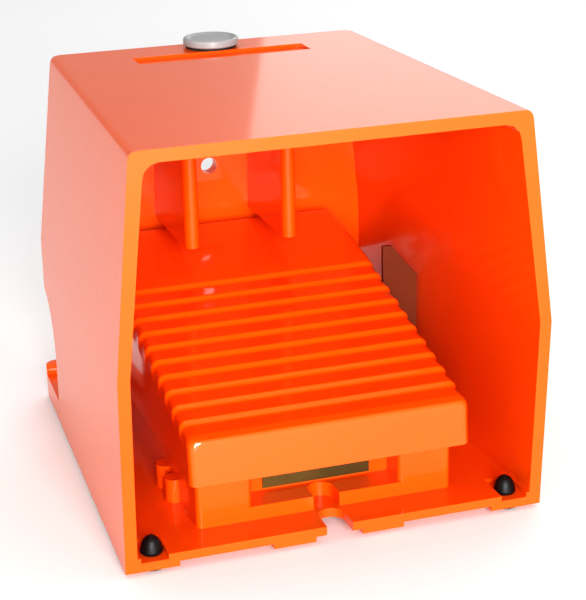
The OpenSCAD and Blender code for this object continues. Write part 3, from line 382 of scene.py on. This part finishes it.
def treadleShell(t):
    cosS, tanS, tanR = math.cos(math.radians(t["slope"])), math.tan(math.radians(t["slope"])), \
        math.tan(math.radians(t["rearSlope"]))
    lip = t["skirt"] + t["lip"]
    kink = t["front"] + 1.5 + (t["flutes"] + 1) * t["pitch"] * cosS
    kinkZ = lip + (kink - t["front"] - 1.5) * tanS
    first = t["front"] + 3.5 + 0.13 * t["pitch"] * cosS  # the front crest

    def top(y):
        # two straight slopes that meet at the kink, blended over a few mm
        a, b = lip + (y - t["front"] - 1.5) * tanS, kinkZ + (y - kink) * tanR
        return (a + b) / 2 - np.sqrt(((a - b) / 2) ** 2 + 0.02)

    s = np.linspace(-1, t["flutes"] + 1, 4001)
    p = s - np.floor(s)
    fall, rise = p / (1 - t["riser"]), (1 - p) / t["riser"]
    deep = (fall + rise - np.sqrt((fall - rise) ** 2 + 0.10)) / 2  # long fall, cove and short riser
    deep = np.maximum(deep, 0) * ((s > 0) & (s < t["flutes"]))
    kernel = np.exp(-np.linspace(-2.5, 2.5, 2 * int(2.5 * t["crest"] / t["pitch"] / (s[1] - s[0])) + 1) ** 2)
    deep = np.convolve(deep, kernel / kernel.sum(), "same") * t["deep"]

    def flute(y):
        # depth below the plain slope: falls slowly behind each crest, then rises by a steep riser
        return np.interp((y - first) / cosS / t["pitch"], s, deep)

    def low(y):
        # the skirt runs level, then climbs to the foot of the rear wall
        climb = (y - t["rise"]) / (t["rear"] - t["wall"] - t["rise"])
        return t["skirt"] + (t["stop"] - t["skirt"]) * np.clip(climb, 0, 1)

    # places along the treadle: round the front corners, then denser at the crests, then the plain rear
    a = np.linspace(0, math.pi / 2, 9)
    front = t["front"] + t["shoulder"] * (1 - np.cos(a))
    steps = np.array([-0.20, -0.165, -0.13, -0.10, -0.07, -0.045, -0.03, -0.015, 0, 0.015, 0.03, 0.05,
                      0.10, 0.2, 0.32, 0.45, 0.58, 0.68, 0.75])
    fluted = first + (np.arange(t["flutes"] + 1)[:, None] + steps).ravel() * t["pitch"] * cosS
    fluted = fluted[fluted > front[-1]]
    fluted = np.unique(np.clip(fluted, 0, first + (t["flutes"] + 0.06) * t["pitch"] * cosS))
    plain = np.linspace(fluted[-1] + 0.6, t["rear"] - t["rearEdge"], 26)
    back = t["rear"] - t["rearEdge"] * (1 - np.sin(np.linspace(0.3, math.pi / 2, 5)))
    y = np.concatenate([front, fluted, plain, back])
    inner = [t["front"] + t["wall"], t["rear"] - t["wall"]]
    y = np.sort(np.concatenate([y, inner, inner]))
    hollow = (y >= inner[0]) & (y <= inner[1])
    hollow[np.flatnonzero(y == inner[0])[0]] = False
    hollow[np.flatnonzero(y == inner[1])[-1]] = False

    # each ring: half width, top and foot, drawn in at the rounded corners and edges
    near = np.clip(t["front"] + t["shoulder"] - y, 0, t["shoulder"])
    hx = t["half"] - t["shoulder"] + np.sqrt(t["shoulder"] ** 2 - near ** 2)
    edge = np.clip(t["front"] + t["frontEdge"] - y, 0, t["frontEdge"])
    rearIn = np.clip(y - (t["rear"] - t["rearEdge"]), 0, t["rearEdge"])
    z1 = top(y) - t["frontEdge"] + np.sqrt(t["frontEdge"] ** 2 - edge ** 2)
    z1 = z1 - t["rearEdge"] + np.sqrt(t["rearEdge"] ** 2 - rearIn ** 2)
    z0, r, groove = low(y), t["shoulder"], flute(y)

    # outer path over one ring: up the left side, round the shoulder, across, and down again
    q = np.linspace(0, 1, 15)[:, None]
    arc = np.linspace(0, math.pi / 2, 9)[1:-1, None]
    over = np.linspace(-1, 1, 25)[:, None]
    sideZ = z0 + (z1 - r - z0) * q
    fade = np.clip(1 - (z1 - r - sideZ) / t["curl"], 0, 1)
    fade = fade * fade * (3 - 2 * fade) * t["sideDeep"]
    left = np.stack([-hx + groove * fade, sideZ], -1)
    bent = r - groove * (t["sideDeep"] + (1 - t["sideDeep"]) * np.sin(arc))
    bend = np.stack([-(hx - r) - bent * np.cos(arc), z1 - r + bent * np.sin(arc)], -1)
    across = np.stack([over * (hx - r), (z1 - groove) * np.ones_like(over)], -1)
    mirror = np.array([-1, 1])
    outer = np.concatenate([left, bend, across, bend[::-1] * mirror, left[::-1] * mirror])

    # inner path back: up inside the right wall, across under the top, and down inside the left one
    under = np.where(y < kink + 4, t["top"] + t["deep"], t["top"])
    ceiling = np.minimum(z1 - under, top(y) - under)
    ix = hx - t["wall"]
    w = np.linspace(0, 1, 5)[:, None]
    inRight = np.concatenate([np.stack([ix * np.ones_like(w), z0 + (ceiling - z0) * w], -1),
                              np.stack([ix * (1 - w[1:]) + 1.0 * w[1:], ceiling * np.ones_like(w[1:])], -1)])
    corner = np.stack([hx, z0], -1)[None]
    inRight = np.where(hollow[None, :, None], inRight, corner)
    path = np.concatenate([outer, inRight, inRight[::-1] * mirror]).transpose(1, 0, 2)

    # the front face leans back as it rises
    rise = np.clip((path[..., 1] - t["skirt"]) / t["leanHigh"], 0, 1)
    lean = t["lean"] * rise * np.clip(1 - (y - t["front"]) / t["leanBack"], 0, 1)[:, None]
    grid = np.stack([path[..., 0], y[:, None] + lean, path[..., 1]], -1)
    shape = Shape().grid(grid, closeAcross=True, caps=True)
    return shape, top, kink


under = {
    "padY": 90, "padR": 7, "padHigh": 4.4, "padEdge": 0.6,  # pad that presses the plunger
    "seatX": 30, "seatY": 62, "seatR": 6.5, "seatHigh": 2.2,  # seats of the return springs
    "pegR": 3.9, "pegHigh": 2, "pegEdge": 0.5,  # pegs inside the springs
    "shaftY": 147, "shaftZ": 60.5, "cheekR": 6.5, "cheekFrom": 47.4,  # cheeks round the shaft
    "ribX": 24, "ribT": 3, "ribHigh": 3,
}


def treadleUnderside(shape, u, t, top, kink):
    # solids of revolution and ribs that start a little inside the treadle's top wall
    def ceiling(y):
        return float(top(np.array(y))) - (t["top"] + t["deep"] - 0.6)

    pad = ceiling(u["padY"])
    padLow = pad - u["padHigh"]
    lathe(shape, [(0, padLow), (u["padR"] - u["padEdge"], padLow), (u["padR"], padLow + u["padEdge"]),
                  (u["padR"], pad + 1.2), (0, pad + 1.2)], (0, u["padY"], 0))
    seat = ceiling(u["seatY"])
    seatLow = seat - u["seatHigh"]
    pegLow = seatLow - u["pegHigh"]
    for side in (-1, 1):
        lathe(shape, [(0, pegLow), (u["pegR"] - u["pegEdge"], pegLow), (u["pegR"], pegLow + u["pegEdge"]),
                      (u["pegR"], seatLow), (u["seatR"], seatLow), (u["seatR"], seat + 0.4), (0, seat + 0.4)],
              (side * u["seatX"], u["seatY"], 0))
        cheek = sorted([side * u["cheekFrom"], side * (t["half"] - 2)])
        lathe(shape, [(0, cheek[0]), (u["cheekR"], cheek[0]), (u["cheekR"], cheek[1]), (0, cheek[1])],
              (0, u["shaftY"], u["shaftZ"]), axis="x")
        ribY = np.array([kink - 12, kink + 10, t["rear"] - 1])
        ribTop = top(ribY) - np.array([5.0, 3.2, 3.2])
        rib = np.stack([np.concatenate([ribY, ribY[::-1]]),
                        np.concatenate([ribTop, (ribTop - u["ribHigh"])[::-1]])], -1)
        prism(shape, rib, side * u["ribX"] - u["ribT"] / 2, side * u["ribX"] + u["ribT"] / 2, edge=0.3)


shape, treadTop, kinkY = treadleShell(treadleShape)
treadleUnderside(shape, under, treadleShape, treadTop, kinkY)
treadlePiece = shape.build("treadleShell", "treadle", "orange_paint", ["treadle"], treadEnamel, smooth=40)
print("treadle built")


# feet and plug

footShape = {
    "places": [(68.52, 12, 5.0), (62.4, 165, 7.0)],  # x, y and the height of the floor round the nub
    "disc": 5.5, "edge": 0.8, "seat": 2.95, "neck": 3.1, "nub": 4.1, "high": 7.0,
}


def feet(f):
    # one turned foot: flat disc below, neck through the floor, and a pointed nub above it
    shape = Shape()
    for x, y, floorZ in f["places"]:
        z = floorZ + 0.1
        nub = [(f["nub"] - 0.4, z), (f["nub"], z + 0.5), (f["nub"], z + 1.3), (f["nub"] - 0.25, z + 2.1)]
        curve = np.linspace(0, 1, 9)[1:, None]
        side = np.hstack([0.9 + (f["nub"] - 1.15) * np.sqrt(1 - curve ** 1.3),
                          z + 2.1 + (f["high"] - 2.7) * curve])
        profile = np.concatenate([[(0, 0), (f["disc"] - f["edge"], 0)],
                                  arcPoints(f["disc"] - f["edge"], f["edge"], f["edge"], -80, 0, 5),
                                  [(f["disc"], f["seat"]), (f["neck"], f["seat"]), (f["neck"], z)], nub, side,
                                  [(0.45, z + f["high"] - 0.15), (0, z + f["high"])]])
        for sign in (-1, 1):
            lathe(shape, profile, (sign * x, y, 0), steps=40)
    return shape


footPieces = feet(footShape).build("footPads", "base", "rubber", ["rubber_feet"], footRubber, smooth=50)

lowPlug, highPlug = nodeBox("hood_plug")
plugShape = {
    "x": (lowPlug[0] + highPlug[0]) / 2, "y": (lowPlug[1] + highPlug[1]) / 2,
    "low": lowPlug[2], "high": highPlug[2],
    "head": (highPlug[0] - lowPlug[0]) / 2, "thick": 3, "stem": 6, "round": 0.9,
}


def plug(p):
    # a round cap with a softened rim, a shallow dished top and a short stem below
    top, r = p["high"], p["round"]
    dish = np.linspace(1, 0, 8)[:, None]
    crown = np.hstack([dish * (p["head"] - r - 1.4), top - 0.35 + 0.0 * dish])
    profile = np.concatenate([[(0, p["low"]), (p["stem"] - 0.6, p["low"]), (p["stem"], p["low"] + 0.6),
                               (p["stem"], top - p["thick"])], [(p["head"] - 0.4, top - p["thick"])],
                              [(p["head"], top - p["thick"] + 0.4)],
                              arcPoints(p["head"] - r, top - r, r, 0, 90, 7),
                              [(p["head"] - r - 0.9, top)], crown])
    return lathe(Shape(), profile, (p["x"], p["y"], 0), steps=72)


plugPiece = plug(plugShape).build("plugCap", "base", "grey_metal", ["hood_plug"], plugPlastic, smooth=40)
print("feet and plug built")


# stage, lights and camera

studio = {
    "floorSize": 8.0, "floorZ": -0.0002,  # just below the feet
    "keyPower": 26, "fillPower": 1.0, "topPower": 2.5, "backPower": 4,
    "worldGrey": 1.0, "worldStrength": 0.42,
}


def softLight(name, power, size, place, aim, colour=(1, 1, 1)):
    lamp = bpy.data.lights.new(name, "AREA")
    lamp.energy, lamp.size, lamp.color = power, size, colour
    holder = bpy.data.objects.new(name, lamp)
    bpy.context.scene.collection.objects.link(holder)
    holder.location = place
    holder.rotation_euler = (Vector(aim) - Vector(place)).to_track_quat("-Z", "Y").to_euler()
    return holder


floorFinish = Finish("floorPaper", Roughness=0.85, Specular_IOR_Level=0.2)
floorFinish.feed(Base_Color=floorFinish.mix(floorFinish.noise(3, 2), (0.93, 0.93, 0.93, 1),
                                            (0.96, 0.96, 0.96, 1)))
floorMesh = bpy.data.meshes.new("floor")
floorHalf = studio["floorSize"] / 2
floorCorners = [(x * floorHalf, y * floorHalf, studio["floorZ"]) for x, y in ((-1, -1), (1, -1), (1, 1), (-1, 1))]
floorMesh.from_pydata(floorCorners, [], [(0, 1, 2, 3)])
floorMesh.materials.append(floorFinish.material)
floor = bpy.data.objects.new("floor", floorMesh)
bpy.context.scene.collection.objects.link(floor)
softLight("keyLight", studio["keyPower"], 0.7, (-0.22, -1.45, 0.42), (0, 0, 0.07))
softLight("fillLight", studio["fillPower"], 1.0, (-1.3, -0.35, 0.75), (0, 0, 0.08), (1, 0.96, 0.98))
softLight("topLight", studio["topPower"], 1.6, (0.2, 0.35, 1.5), (0, 0, 0.08))
softLight("backLight", studio["backPower"], 1.2, (0.9, 1.2, 0.9), (0, 0, 0.08))
world = bpy.data.worlds.new("studio")
world.use_nodes = True
grey = studio["worldGrey"]
world.node_tree.nodes["Background"].inputs["Color"].default_value = (grey, grey, grey, 1)
world.node_tree.nodes["Background"].inputs["Strength"].default_value = studio["worldStrength"]
bpy.context.scene.world = world
bpy.context.scene.view_settings.view_transform = "Standard"
bpy.context.scene.view_settings.look = "High Contrast"

cameraSetup = {
    "place": (-0.1955, -0.6286, 0.2999),
    "yaw": 17.72, "pitch": 19.69, "roll": -1.43,  # degrees: to the right, down, tilt
    "lens": 106.4, "shiftX": 0.0285,
}


def aimCamera(c):
    # forward from yaw and pitch, then up and right turned about it by the roll
    yaw, pitch, roll = (math.radians(c[k]) for k in ("yaw", "pitch", "roll"))
    forward = Vector((math.sin(yaw) * math.cos(pitch), math.cos(yaw) * math.cos(pitch), -math.sin(pitch)))
    right = forward.cross(Vector((0, 0, 1))).normalized()
    up = right.cross(forward)
    right, up = (right * math.cos(roll) + up * math.sin(roll), up * math.cos(roll) - right * math.sin(roll))
    lens = bpy.data.cameras.new("camera")
    lens.lens, lens.sensor_width, lens.shift_x = c["lens"], 36, c["shiftX"]
    lens.clip_start = 0.01
    camera = bpy.data.objects.new("camera", lens)
    bpy.context.scene.collection.objects.link(camera)
    turn = Matrix((right, up, -forward)).transposed().to_4x4()
    camera.matrix_world = Matrix.Translation(Vector(c["place"])) @ turn
    bpy.context.scene.camera = camera


aimCamera(cameraSetup)
print("stage, lights and camera ready")
